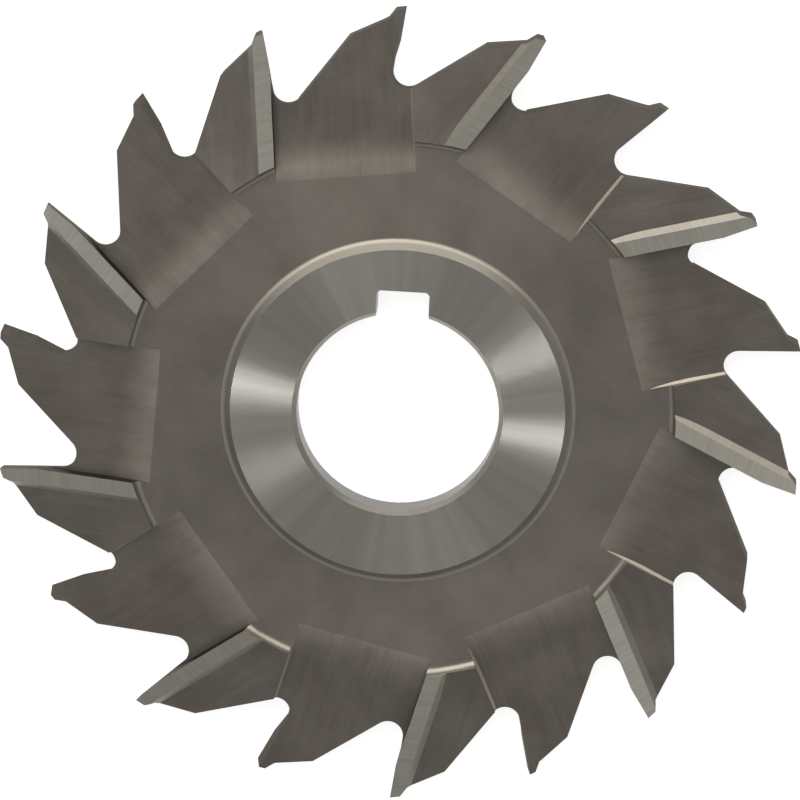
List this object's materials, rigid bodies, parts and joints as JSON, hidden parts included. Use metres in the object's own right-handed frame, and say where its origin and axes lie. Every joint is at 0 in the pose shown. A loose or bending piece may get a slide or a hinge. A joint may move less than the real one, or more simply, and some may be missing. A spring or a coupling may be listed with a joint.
{
  "type": "side and face cutter",
  "caption": "Flat round side and face milling cutter with staggered teeth, a keyed bore, a raised hub and a recessed web; it cuts slots with its rim and its sides.",
  "frame": {"origin": "centre of the bore at the middle of the cutter's width", "axes": "+Z along the bore towards the side the picture shows, +Y through the middle of the keyway"},
  "size_m": [0.1006, 0.1016, 0.0048],
  "materials": {
    "tool_steel": "dull grey web, turned hub faces, ground tooth faces and lands"
  },
  "bodies": {
    "root": {"cutter": "tool_steel"}
  },
  "joints": []
}
